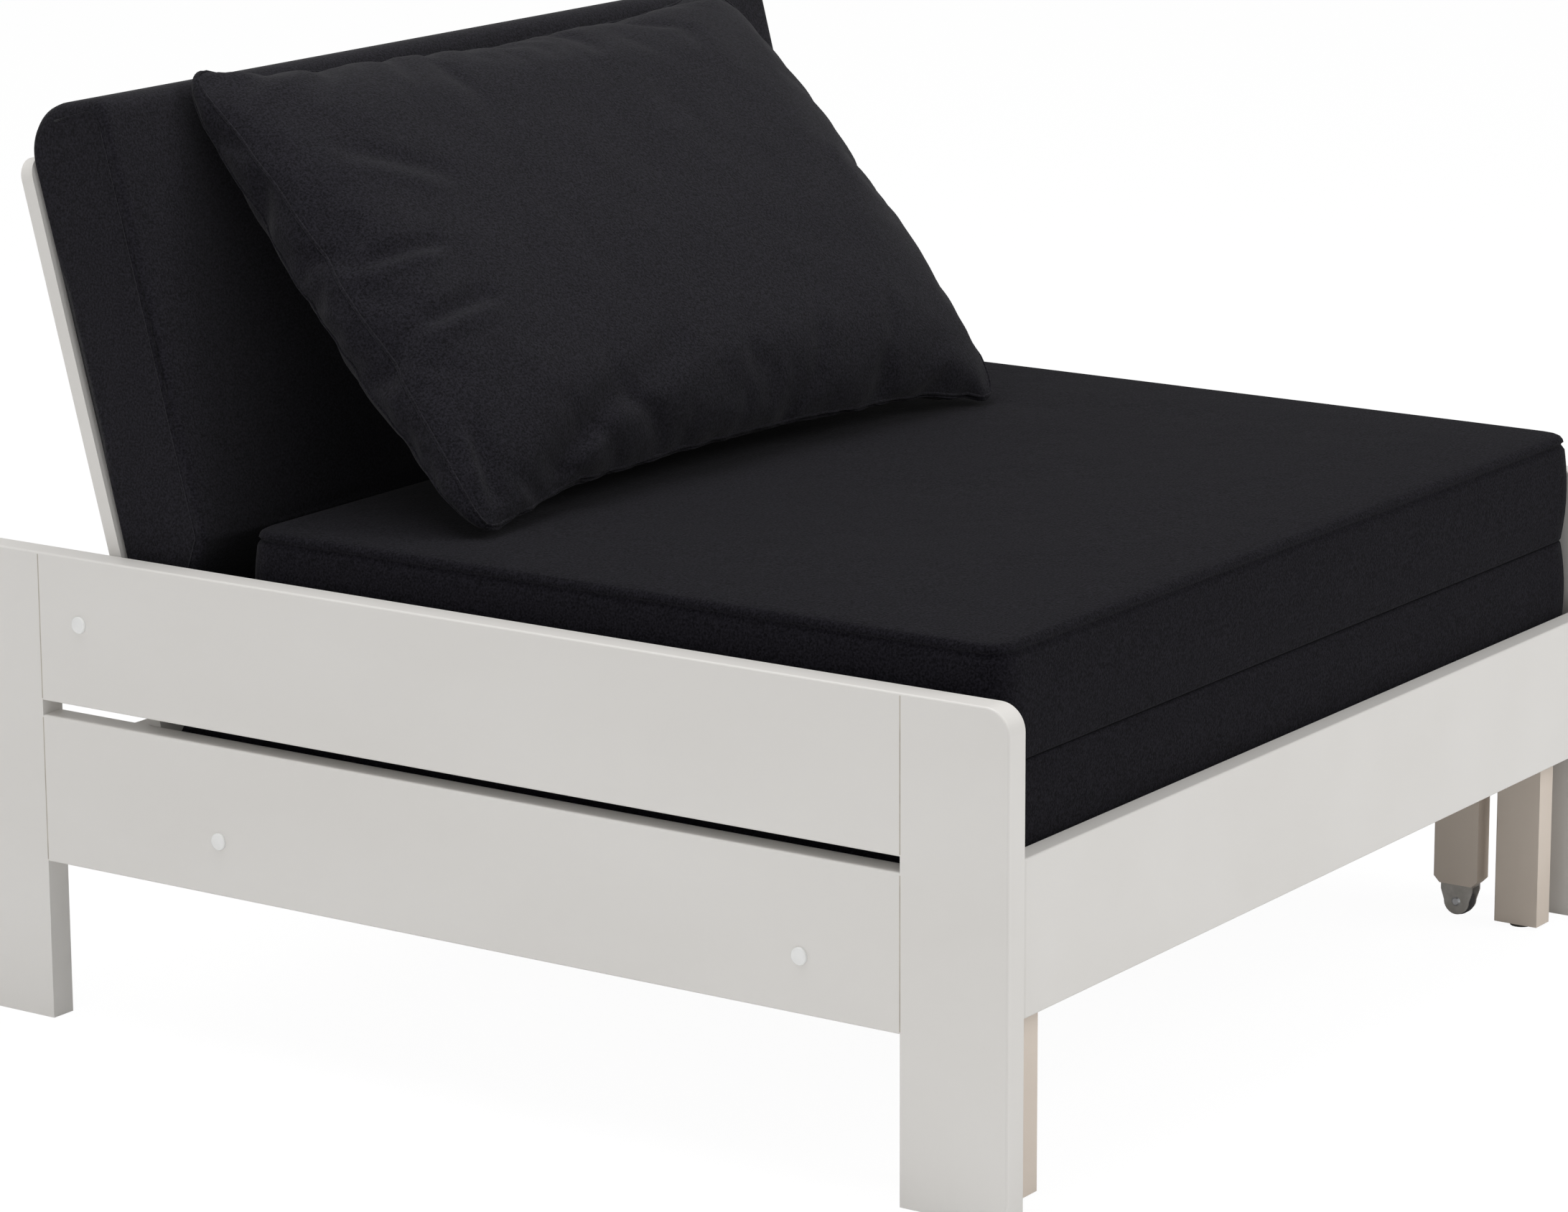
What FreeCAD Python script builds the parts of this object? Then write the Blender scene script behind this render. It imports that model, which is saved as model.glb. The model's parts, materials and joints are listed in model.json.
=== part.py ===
import FreeCAD, Part
import os
from math import cos, pi, radians, sin, sqrt, tan

# A one-seat convertible chair bed in painted wood. Two flat side frames are tied by three
# cross rails. A comb of slats in three sets pulls out on a front trestle and a castor trestle.
# A mattress of two layers folds over its front edge, a back cushion leans on a thin panel,
# and a loose pillow lies against it.
# Millimetres, +Z up, the front faces -Y, the origin is on the floor under the middle.

V = FreeCAD.Vector
SIDES = {"left": -1, "right": 1}

# Side frames
overall_width = 1040.0
overall_depth = 1088.0
side_height = 420.0
board_thickness = 25.0
leg_width = 100.0
side_board_height = 132.0
side_slot = 13.0
leg_corner_radius = 22.0
edge_ease = 2.0
dowel_diameter = 8.0
dowel_length = 40.0
dowel_inset = 30.0

# Cross rails and their fastenings
rail_board = 25.0
front_cross_rail_y = 195.0
rear_cross_rail_setback = 295.0
back_rail_depth = 50.0
back_rail_height = 60.0
back_rail_mid_z = 361.0
bolt_diameter = 6.0
bolt_length = 70.0
bolt_head_diameter = 12.0
bolt_head_length = 5.0
cap_diameter = 15.0
cap_rim = 1.2
cap_height = 2.4
cap_round = 1.5
nut_diameter = 10.0
nut_length = 18.0

# Slats
slat_top_z = 258.0
slat_thickness = 18.0
slat_gap = 8.0
slat_side_gap = 15.0
slat_count = 20
slat_ease = 1.5
slide_gap = 0.3
fixed_slat_past_foot = 39.0
sliding_slat_rear_gap = 20.0
screw_head_diameter = 8.0
screw_shank_diameter = 4.0
screw_length = 38.0
screw_head_depth = 2.4

# Front trestle
front_rail_height = 130.0
front_rail_thickness = 20.0
front_rail_top_z = 293.0
front_rail_setback = 6.0
front_rail_side_gap = 3.5
front_rail_end_radius = 8.0
post_thickness = 25.0
post_depth = 44.0
post_inset = 36.0
ledger_thickness = 25.0
ledger_height = 45.0
glide_diameter = 20.0
glide_height = 3.0

# Castor trestle
castor_leg_thickness = 22.0
castor_leg_depth = 45.0
castor_leg_inset = 37.0
castor_leg_y = 89.0
castor_leg_chamfer = 6.0
middle_rail_thickness = 22.0
middle_rail_height = 60.0
castor_height = 30.0
castor_wheel_radius = 13.5
castor_wheel_width = 12.0
castor_tyre_thickness = 3.0
castor_tyre_chamfer = 1.5
castor_plate = 2.0
castor_shoulder = 6.0
castor_hub_wall = 2.0
castor_rim_wall = 1.5
castor_web = 6.0
castor_rim_width = 10.0
castor_bracket_depth = 32.0
castor_cheek_radius = 12.5
castor_side_gap = 0.6
axle_diameter = 5.0
axle_clearance = 0.08
axle_head_diameter = 9.0
axle_head_length = 1.5

# Backrest
back_tilt = 15.0
panel_thickness = 13.0
panel_top_length = 516.0
panel_side_gap = 5.0
panel_corner_radius = 18.0
panel_foot_setback = 212.0
foot_batten_depth = 22.0
foot_batten_height = 14.0
tape_width = 30.0
tape_inset = 50.0
tape_thickness = 1.0
tape_heights = (215.0, 480.0)

# Soft parts
soft_gap = 0.5
fold_gap = 0.5
cushion_side_gap = 6.0
layer_thickness = 101.0
layer_bow = 4.0
layer_top_corner = 10.0
layer_foot_corner = 16.0
layer_fold_corner = 5.0
layer_upright_corner = 24.0
upper_layer_crown = 10.0
lower_layer_crown = 1.0
upper_layer_rear_gap = 92.5
back_cushion_top = 558.0
back_cushion_thickness = 100.0
back_cushion_crown = 7.0
back_cushion_slant_top = 166.0
back_cushion_foot_depth = 42.0
back_cushion_corners = (6.0, 12.0, 10.0, 12.0, 42.0)
back_cushion_side_round = 9.0
soft_end_steps = 4
soft_first_step = 0.3
soft_middle_steps = 8
soft_section_corner = 0.8
least_bulge = 1.0
settle_steps = 12
pillow_steps = 14
pillow_length = 730.0
pillow_height = 490.0
pillow_thickness = 128.0
pillow_edge = 12.0
pillow_end_thickness = 52.0
pillow_draw_in = 14.0
pillow_lean = 44.0
pillow_turn = -4.0
pillow_left_x = 82.0

# Places that follow from the sizes above
front_y = -overall_depth / 2
rear_y = overall_depth / 2
inner_x = overall_width / 2 - board_thickness
panel_foot_y = overall_depth - panel_foot_setback
rear_cross_rail_y = overall_depth - rear_cross_rail_setback
slat_pitch = 2 * (inner_x - slat_side_gap) / slat_count
slat_width = slat_pitch - slat_gap
lower_board_z = side_height - 2 * side_board_height - side_slot
upper_board_z = side_height - side_board_height
rail_top_z = slat_top_z - slat_thickness
middle_rail_top_z = rail_top_z + slide_gap
ledger_top_z = middle_rail_top_z + slide_gap
front_rail_back_y = front_y + front_rail_setback + front_rail_thickness
post_outer_x = inner_x - post_inset
castor_outer_x = inner_x - castor_leg_inset
axle_z = castor_wheel_radius
mattress_bottom_z = ledger_top_z + slat_thickness + soft_gap
mattress_front = front_rail_back_y + soft_gap
mattress_width = 2 * (inner_x - cushion_side_gap)
lower_layer_top_z = mattress_bottom_z + layer_thickness
lower_layer_length = front_y + panel_foot_y - soft_gap - mattress_front
upper_layer_length = lower_layer_length - upper_layer_rear_gap + soft_gap


def block(x0, x1, y0, y1, z0, z1):
    """A box between two corners given in any order."""
    low = V(min(x0, x1), min(y0, y1), min(z0, z1))
    return Part.makeBox(abs(x1 - x0), abs(y1 - y0), abs(z1 - z0), low)


def rod(diameter, length, start, direction):
    """A round rod from start along direction."""
    return Part.makeCylinder(diameter / 2, length, start, direction)


def ease(shape, radius, wanted):
    """Rounds the edges of a shape for which wanted(edge) is true."""
    return shape.makeFillet(radius, [edge for edge in shape.Edges if wanted(edge)])


def runs_along(edge, axis):
    """True for a straight edge that lies along one axis."""
    if not isinstance(edge.Curve, Part.Line):
        return False
    a, b = edge.Vertexes[0].Point, edge.Vertexes[-1].Point
    step = b - a
    return abs(getattr(step, axis)) > 0.999 * step.Length


def group(shapes):
    """Several separate solids in one node."""
    return Part.makeCompound(shapes)


def tilted(shape):
    """Leans a shape that was built upright at the panel's foot back by the backrest's tilt."""
    foot = V(0, front_y + panel_foot_y, slat_top_z)
    leaned = shape.copy()
    leaned.rotate(foot, V(1, 0, 0), -back_tilt)
    return leaned


def side_dowels(side):
    """The dowels between the boards and the legs of one side frame."""
    x = side * (inner_x + board_thickness / 2)
    joints_y = (front_y + leg_width, rear_y - leg_width)
    boards_z = (lower_board_z, upper_board_z)
    dowels = []
    for y in joints_y:
        for z in boards_z:
            for offset in (dowel_inset, side_board_height - dowel_inset):
                start = V(x, y - dowel_length / 2, z + offset)
                dowels.append(rod(dowel_diameter, dowel_length, start, V(0, 1, 0)))
    return dowels


def bolt_places(side):
    """Centres of one side frame's bolts on its outer face, as (y, z)."""
    low_z = (lower_board_z + rail_top_z) / 2
    return [
        (front_y + front_cross_rail_y, low_z),
        (front_y + rear_cross_rail_y, low_z),
        (back_rail_centre().y, back_rail_centre().z),
    ]


def back_rail_centre():
    """The middle of the cross rail that the panel leans on."""
    rise = back_rail_mid_z - slat_top_z
    behind = (panel_thickness + back_rail_depth / 2) / cos(radians(back_tilt))
    return V(0, front_y + panel_foot_y + rise * tan(radians(back_tilt)) + behind, back_rail_mid_z)


def side_bolt(side, y, z):
    """One connector bolt with its head sunk under the cap."""
    outer = side * overall_width / 2
    inward = V(-side, 0, 0)
    head_start = V(outer - side * cap_rim, y, z)
    head = rod(bolt_head_diameter, bolt_head_length, head_start, inward)
    shank_start = V(outer - side * (cap_rim + bolt_head_length), y, z)
    return head.fuse(rod(bolt_diameter, bolt_length, shank_start, inward)).removeSplitter()


def bolt_cap(side, y, z):
    """A cap with a rounded rim that hides one bolt's head."""
    inner = side * (overall_width / 2 - cap_rim)
    cap = rod(cap_diameter, cap_rim + cap_height, V(inner, y, z), V(side, 0, 0))
    return ease(cap, cap_round, lambda edge: abs(edge.CenterOfMass.x) > overall_width / 2 + cap_height / 2)


def barrel_nut(side, y, z, across):
    """The cross nut that one bolt screws into, lying along the direction across."""
    reach = cap_rim + bolt_head_length + bolt_length - nut_diameter
    centre = V(side * (overall_width / 2 - reach), y, z)
    nut = rod(nut_diameter, nut_length, centre - across * (nut_length / 2), across)
    hole = rod(bolt_diameter, overall_width, centre - V(side * overall_width / 2, 0, 0), V(side, 0, 0))
    return nut.cut(hole)


def wood_screw(x, y, top_z):
    """A countersunk screw, head up, with its head flush at top_z."""
    neck = V(x, y, top_z - screw_head_depth)
    head = Part.makeCone(screw_shank_diameter / 2, screw_head_diameter / 2, screw_head_depth, neck)
    tip = V(x, y, top_z - screw_length)
    shank = rod(screw_shank_diameter, screw_length - screw_head_depth, tip, V(0, 0, 1))
    return head.fuse(shank).removeSplitter()


def leg(side, end):
    """A side frame's leg, with its free top corner rounded. end is -1 at the front, 1 at the rear."""
    free_y = end * overall_depth / 2
    seam_y = free_y - end * leg_width
    x = side * inner_x
    r = leg_corner_radius
    slant = r * (1 - cos(pi / 4))
    outline = [
        Part.makeLine(V(x, seam_y, 0), V(x, free_y, 0)),
        Part.makeLine(V(x, free_y, 0), V(x, free_y, side_height - r)),
        Part.Arc(
            V(x, free_y, side_height - r),
            V(x, free_y - end * slant, side_height - slant),
            V(x, free_y - end * r, side_height),
        ).toShape(),
        Part.makeLine(V(x, free_y - end * r, side_height), V(x, seam_y, side_height)),
        Part.makeLine(V(x, seam_y, side_height), V(x, seam_y, 0)),
    ]
    solid = Part.Face(Part.Wire(outline)).extrude(V(side * board_thickness, 0, 0))

    def shows(edge):
        points = [v.Point for v in edge.Vertexes]
        on_floor = all(p.z < 1 for p in points)
        on_seam = all(abs(p.y - seam_y) < 1 for p in points)
        across = all(abs(p.z - side_height) < r + 1 for p in points) and runs_along(edge, "x")
        return not (on_floor or on_seam or across)

    solid = ease(solid, edge_ease, shows)
    return solid.cut(group(side_dowels(side)))


def side_board(side, bottom_z):
    """A side frame's board between its legs."""
    solid = block(
        side * inner_x,
        side * (inner_x + board_thickness),
        front_y + leg_width,
        rear_y - leg_width,
        bottom_z,
        bottom_z + side_board_height,
    )
    solid = ease(solid, edge_ease, lambda edge: runs_along(edge, "y"))
    drilled = side_dowels(side)
    for y, z in bolt_places(side):
        drilled.append(side_bolt(side, y, z))
        drilled.append(bolt_cap(side, y, z))
    return solid.cut(group(drilled))


def cross_rail(y):
    """A board on edge that ties the side frames under the slats."""
    mid = front_y + y
    rail = block(-inner_x, inner_x, mid - rail_board / 2, mid + rail_board / 2, lower_board_z, rail_top_z)
    return rail


def back_rail():
    """The cross rail behind the panel, tilted with it."""
    foot_y = front_y + panel_foot_y + panel_thickness
    middle = (back_rail_mid_z - slat_top_z) / cos(radians(back_tilt))
    # its middle lies on the bolts' axis
    middle += (panel_thickness + back_rail_depth / 2) * tan(radians(back_tilt))
    rail = block(
        -inner_x,
        inner_x,
        foot_y,
        foot_y + back_rail_depth,
        slat_top_z + middle - back_rail_height / 2,
        slat_top_z + middle + back_rail_height / 2,
    )
    return ease(tilted(rail), edge_ease, lambda edge: runs_along(edge, "x"))


def slat_lane(lane):
    """The middle of one slat's lane across the width."""
    return (lane - (slat_count - 1) / 2) * slat_pitch


def slat_set(kind, start_y, end_y, bottom_z):
    """Every third slat, from kind on."""
    slats = []
    for lane in range(kind, slat_count, 3):
        x = slat_lane(lane)
        top_z = bottom_z + slat_thickness
        slat = block(x - slat_width / 2, x + slat_width / 2, start_y, end_y, bottom_z, top_z)
        upper_edges = [e for e in slat.Edges if runs_along(e, "y") and e.Vertexes[0].Point.z > top_z - 1]
        slats.append(slat.makeChamfer(slat_ease, upper_edges))
    return slats


def slat_screws(kind, places_y, top_z):
    """The screws of one set of slats, one in each slat at each place."""
    return [wood_screw(slat_lane(lane), y, top_z) for lane in range(kind, slat_count, 3) for y in places_y]


def castor_bracket(x):
    """A steel fork under a castor leg: a top plate with two cheeks that end in a round."""
    y = front_y + castor_leg_y + castor_leg_depth / 2
    half_gap = castor_wheel_width / 2 + castor_side_gap
    half_out = half_gap + castor_plate
    half_depth = castor_bracket_depth / 2
    shoulder_z = castor_height - castor_shoulder
    plate = block(
        x - half_out,
        x + half_out,
        y - half_depth,
        y + half_depth,
        castor_height - castor_plate,
        castor_height,
    )
    parts = [plate]
    r = castor_cheek_radius
    for end in (-1, 1):
        near = x + end * half_gap
        outline = [
            Part.makeLine(V(near, y - half_depth, castor_height), V(near, y + half_depth, castor_height)),
            Part.makeLine(V(near, y + half_depth, castor_height), V(near, y + half_depth, shoulder_z)),
            Part.makeLine(V(near, y + half_depth, shoulder_z), V(near, y + r, axle_z)),
            Part.Arc(V(near, y + r, axle_z), V(near, y, axle_z - r), V(near, y - r, axle_z)).toShape(),
            Part.makeLine(V(near, y - r, axle_z), V(near, y - half_depth, shoulder_z)),
            Part.makeLine(V(near, y - half_depth, shoulder_z), V(near, y - half_depth, castor_height)),
        ]
        parts.append(Part.Face(Part.Wire(outline)).extrude(V(end * castor_plate, 0, 0)))
    bracket = parts[0].fuse(parts[1:]).removeSplitter()
    hole = rod(axle_diameter, overall_width, V(x - overall_width / 2, y, axle_z), V(1, 0, 0))
    return bracket.cut(hole)


def castor_axle(x):
    """The riveted pin through one fork, with a low head at each end."""
    y = front_y + castor_leg_y + castor_leg_depth / 2
    half = castor_wheel_width / 2 + castor_side_gap + castor_plate
    pin = rod(axle_diameter, 2 * half, V(x - half, y, axle_z), V(1, 0, 0))
    for end in (-1, 1):
        start = V(x + end * half, y, axle_z)
        pin = pin.fuse(Part.makeCone(
            axle_head_diameter / 2, axle_head_diameter / 3, axle_head_length, start, V(end, 0, 0)
        ))
    return pin.removeSplitter()


def castor_wheel(x):
    """The wheel's core: a hub, a thin web and a rim, turned about its axle."""
    y = front_y + castor_leg_y + castor_leg_depth / 2
    half = castor_wheel_width / 2
    bore = axle_diameter / 2 + axle_clearance
    hub = bore + castor_hub_wall
    web = castor_web / 2
    rim = castor_wheel_radius - castor_tyre_thickness
    inside = rim - castor_rim_wall
    side = castor_rim_width / 2
    profile = [
        (bore, -half), (hub, -half), (hub, -web), (inside, -web), (inside, -side), (rim, -side),
        (rim, side), (inside, side), (inside, web), (hub, web), (hub, half), (bore, half),
    ]
    points = [V(x + along, y, axle_z + out) for out, along in profile]
    wire = Part.makePolygon(points + points[:1])
    return Part.Face(wire).revolve(V(x, y, axle_z), V(1, 0, 0), 360)


def castor_tyre(x):
    """The wheel's soft tread, with rounded shoulders."""
    y = front_y + castor_leg_y + castor_leg_depth / 2
    rim = castor_wheel_radius - castor_tyre_thickness
    half = castor_rim_width / 2
    ring = rod(2 * castor_wheel_radius, 2 * half, V(x - half, y, axle_z), V(1, 0, 0))
    ring = ring.makeChamfer(castor_tyre_chamfer, [e for e in ring.Edges if isinstance(e.Curve, Part.Circle)])
    return ring.cut(rod(2 * rim, 2 * half + 2, V(x - half - 1, y, axle_z), V(1, 0, 0)))


def soft_section(y, half_width, low, high, crown, bow, top_corner, foot_corner):
    """A cushion's closed outline across at y: a crowned top, bowed sides and rounded corners."""
    def corner_middle(side, z, radius, up):
        lean = radius * (1 - cos(pi / 4))
        return V(side * (half_width - lean), y, z - up * lean)

    foot_right = V(half_width - foot_corner, y, low)
    foot_left = V(-half_width + foot_corner, y, low)
    right_low = V(half_width, y, low + foot_corner)
    left_low = V(-half_width, y, low + foot_corner)
    right_high = V(half_width, y, high - top_corner)
    left_high = V(-half_width, y, high - top_corner)
    top_right = V(half_width - top_corner, y, high)
    top_left = V(-half_width + top_corner, y, high)
    middle_z = (right_low.z + right_high.z) / 2
    return Part.Wire([
        Part.makeLine(foot_left, foot_right),
        Part.Arc(foot_right, corner_middle(1, low, foot_corner, -1), right_low).toShape(),
        Part.Arc(right_low, V(half_width + bow, y, middle_z), right_high).toShape(),
        Part.Arc(right_high, corner_middle(1, high, top_corner, 1), top_right).toShape(),
        Part.Arc(top_right, V(0, y, high + crown), top_left).toShape(),
        Part.Arc(top_left, corner_middle(-1, high, top_corner, 1), left_high).toShape(),
        Part.Arc(left_high, V(-half_width - bow, y, middle_z), left_low).toShape(),
        Part.Arc(left_low, corner_middle(-1, low, foot_corner, -1), foot_left).toShape(),
    ])


def round_off(radius, inset):
    """How far a rounded edge of this radius falls back at an inset from the end."""
    if inset >= radius:
        return 0.0
    return radius - sqrt(radius ** 2 - (radius - inset) ** 2)


def stations(length, reach):
    """Places along a cushion, close together over the rounding at each end."""
    insets = []
    for step in range(soft_end_steps):
        turn = pi / 2 * (step + soft_first_step) / soft_end_steps
        insets.append(reach * (1 - cos(turn)))
    pitch = (length - 2 * reach) / soft_middle_steps
    middle = [reach + pitch * step for step in range(soft_middle_steps + 1)]
    return insets + middle + [length - inset for inset in reversed(insets)]


def mattress_layer(length, crown, near_top_corner, near_foot_corner, far_top_corner):
    """A boxed layer lying flat from y = 0 to length, with its foot at z = 0.
    It is crowned both ways, its sides bow out, and it draws in towards its corners."""
    reach = layer_upright_corner
    sections = []
    for y in stations(length, reach):
        inset = min(y, length - y)
        near = y < length / 2
        share = 1 - (2 * y / length - 1) ** 2
        sections.append(soft_section(
            y,
            mattress_width / 2 - layer_bow - round_off(layer_upright_corner, inset),
            round_off(near_foot_corner if near else layer_foot_corner, inset),
            layer_thickness - crown - round_off(near_top_corner if near else far_top_corner, inset),
            max(crown * share, least_bulge),
            max(layer_bow * share, least_bulge),
            far_top_corner * soft_section_corner,
            layer_foot_corner * soft_section_corner,
        ))
    return Part.makeLoft(sections, True, True)


def back_outline(x, inset, crown):
    """The back cushion's outline at x, upright at the panel's foot, shrunk all round by an inset.
    From the foot's rear it runs along the foot, up the slant, up the crowned front and over the top."""
    rise = lower_layer_top_z + soft_gap - slat_top_z
    lean = radians(back_tilt)
    near = tape_thickness + soft_gap

    def foot_height(out):
        return (rise - out * sin(lean)) / cos(lean)

    front = near + back_cushion_thickness
    corners = [
        (near, foot_height(near)),
        (near + back_cushion_foot_depth, foot_height(near + back_cushion_foot_depth)),
        (front, back_cushion_slant_top),
        (front, back_cushion_top - back_cushion_crown),
        (near, back_cushion_top),
    ]
    middle_out = (near + front) / 2
    middle_up = (corners[0][1] + back_cushion_top) / 2
    shrink_out = 1 - 2 * inset / back_cushion_thickness
    shrink_up = 1 - 2 * inset / (back_cushion_top - corners[0][1])
    foot_y = front_y + panel_foot_y
    points = []
    for out, up in corners:
        y = foot_y - middle_out - (out - middle_out) * shrink_out
        points.append(V(x, y, slat_top_z + middle_up + (up - middle_up) * shrink_up))
    edges = []
    ends = []
    for index, point in enumerate(points):
        before, after = points[index - 1], points[(index + 1) % len(points)]
        radius = back_cushion_corners[index] * shrink_out
        to_before, to_after = (before - point).normalize(), (after - point).normalize()
        half_angle = to_before.getAngle(to_after) / 2
        cut = radius / tan(half_angle)
        start, end = point + to_before * cut, point + to_after * cut
        bisector = (to_before + to_after).normalize()
        middle = point + bisector * (radius / sin(half_angle) - radius)
        edges.append(Part.Arc(start, middle, end).toShape())
        ends.append((start, end))
    outline = []
    for index, arc in enumerate(edges):
        outline.append(arc)
        start, end = ends[index][1], ends[(index + 1) % len(ends)][0]
        if index == 2:
            bulge = (start + end) * 0.5 - V(0, crown, 0)
            outline.append(Part.Arc(start, bulge, end).toShape())
        else:
            outline.append(Part.makeLine(start, end))
    return Part.Wire(outline)


def back_cushion_shape():
    """The back cushion, with a slanted lower front edge, a crowned front and drawn-in ends, on the panel."""
    half = mattress_width / 2
    reach = back_cushion_side_round
    sections = []
    for place in stations(2 * half, reach):
        share = 1 - (place / half - 1) ** 2
        inset = round_off(reach, min(place, 2 * half - place))
        sections.append(back_outline(place - half, inset, max(back_cushion_crown * share, least_bulge)))
    return tilted(Part.makeLoft(sections, True, True))


def bring_near(shape, neighbour, direction):
    """Moves a shape along a direction until it stands one soft gap from its neighbour."""
    moved = shape.copy()
    for attempt in range(settle_steps):
        spare = moved.distToShape(neighbour)[0] - soft_gap
        moved.translate(direction * max(spare, 0.0))
    return moved


def pillow_section(x, half_height, half_thickness):
    """A pillow's lens-shaped outline at x, from its lower seam to its upper seam along Z."""
    e = pillow_edge / 2
    low_back, low_front = V(x, e, -half_height), V(x, -e, -half_height)
    top_back, top_front = V(x, e, half_height), V(x, -e, half_height)
    return Part.Wire([
        Part.makeLine(low_back, low_front),
        Part.Arc(low_front, V(x, -half_thickness, 0), top_front).toShape(),
        Part.makeLine(top_front, top_back),
        Part.Arc(top_back, V(x, half_thickness, 0), low_back).toShape(),
    ])


def pillow():
    """The loose pillow, with pinched corners, leaning back with its lower seam at the origin's height."""
    sections = []
    for step in range(pillow_steps + 1):
        turn = -pi / 2 + pi * step / pillow_steps
        share = sin(turn)
        full = cos(turn)
        end_half = pillow_end_thickness / 2
        half_thickness = end_half + (pillow_thickness / 2 - end_half) * full
        half_height = pillow_height / 2 - pillow_draw_in * (1 - share ** 2)
        sections.append(pillow_section(share * pillow_length / 2, half_height, half_thickness))
    body = Part.makeLoft(sections, True, True)
    body.translate(V(0, 0, pillow_height / 2))
    body.rotate(V(0, 0, 0), V(1, 0, 0), -pillow_lean)
    body.rotate(V(0, 0, 0), V(0, 0, 1), pillow_turn)
    body.translate(V(pillow_left_x + pillow_length / 2 - overall_width / 2, 0, 0))
    return body


os.makedirs("parts", exist_ok=True)
nodes = {}

# Side frames
for name, side in SIDES.items():
    nodes[name + "_front_leg"] = leg(side, -1)
    nodes[name + "_rear_leg"] = leg(side, 1)
    nodes[name + "_lower_board"] = side_board(side, lower_board_z)
    nodes[name + "_upper_board"] = side_board(side, upper_board_z)
nodes["frame_dowels"] = group(side_dowels(-1) + side_dowels(1))

# Bolts, caps and nuts of the three cross rails
bolts = []
caps = []
nuts = []
for side in SIDES.values():
    for index, (y, z) in enumerate(bolt_places(side)):
        bolts.append(side_bolt(side, y, z))
        caps.append(bolt_cap(side, y, z))
        lean = radians(back_tilt) if index == 2 else 0.0
        nuts.append(barrel_nut(side, y, z, V(0, cos(lean), -sin(lean))))
nodes["cross_rail_bolts"] = group(bolts)
nodes["bolt_caps"] = group(caps)
nodes["barrel_nuts"] = group(nuts)

# Slats with their screws
fixed_screws = slat_screws(2, (front_y + front_cross_rail_y, front_y + rear_cross_rail_y), slat_top_z)
middle_rail_mid_y = front_y + castor_leg_y + middle_rail_thickness / 2
middle_screws = slat_screws(1, (middle_rail_mid_y,), middle_rail_top_z + slat_thickness)
ledger_mid_y = front_rail_back_y + ledger_thickness / 2
front_screws = slat_screws(0, (ledger_mid_y,), ledger_top_z + slat_thickness)
fixed_start_y = front_y + front_cross_rail_y - rail_board / 2
fixed_end_y = front_y + panel_foot_y + fixed_slat_past_foot
sliding_end_y = front_y + panel_foot_y - sliding_slat_rear_gap
nodes["fixed_slats"] = group([
    slat.cut(group(fixed_screws)) for slat in slat_set(2, fixed_start_y, fixed_end_y, rail_top_z)
])
nodes["middle_slats"] = group([
    slat.cut(group(middle_screws))
    for slat in slat_set(1, front_y + castor_leg_y, sliding_end_y, middle_rail_top_z)
])
nodes["front_slats"] = group([
    slat.cut(group(front_screws)) for slat in slat_set(0, front_rail_back_y, sliding_end_y, ledger_top_z)
])
nodes["fixed_slat_screws"] = group(fixed_screws)
nodes["middle_slat_screws"] = group(middle_screws)
nodes["front_slat_screws"] = group(front_screws)

# Cross rails
fastenings = group(bolts + nuts + fixed_screws)
nodes["front_cross_rail"] = cross_rail(front_cross_rail_y).cut(fastenings)
nodes["rear_cross_rail"] = cross_rail(rear_cross_rail_y).cut(fastenings)
nodes["backrest_cross_rail"] = back_rail().cut(fastenings)

# Backrest panel, the batten behind its foot and its grip tapes
panel_half = inner_x - panel_side_gap
panel = block(
    -panel_half,
    panel_half,
    front_y + panel_foot_y,
    front_y + panel_foot_y + panel_thickness,
    slat_top_z,
    slat_top_z + panel_top_length,
)
panel = ease(
    panel,
    panel_corner_radius,
    lambda edge: runs_along(edge, "y") and edge.Vertexes[0].Point.z > slat_top_z + panel_top_length - 1,
)
panel = tilted(panel)
below = block(-panel_half, panel_half, front_y, rear_y, 0, slat_top_z)
nodes["backrest_panel"] = panel.cut(below)
batten_y = front_y + panel_foot_y + panel_thickness / cos(radians(back_tilt))
batten = block(
    -panel_half,
    panel_half,
    batten_y,
    batten_y + foot_batten_depth,
    slat_top_z,
    slat_top_z + foot_batten_height,
)
behind_panel = tilted(block(
    -overall_width, overall_width, front_y, front_y + panel_foot_y + panel_thickness, 0, overall_depth
))
nodes["backrest_foot_batten"] = batten.cut(behind_panel)
tapes = [
    tilted(block(
        tape_inset - panel_half,
        panel_half - tape_inset,
        front_y + panel_foot_y - tape_thickness,
        front_y + panel_foot_y,
        slat_top_z + height,
        slat_top_z + height + tape_width,
    ))
    for height in tape_heights
]
nodes["back_cushion_grip_tapes"] = group(tapes)

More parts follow.
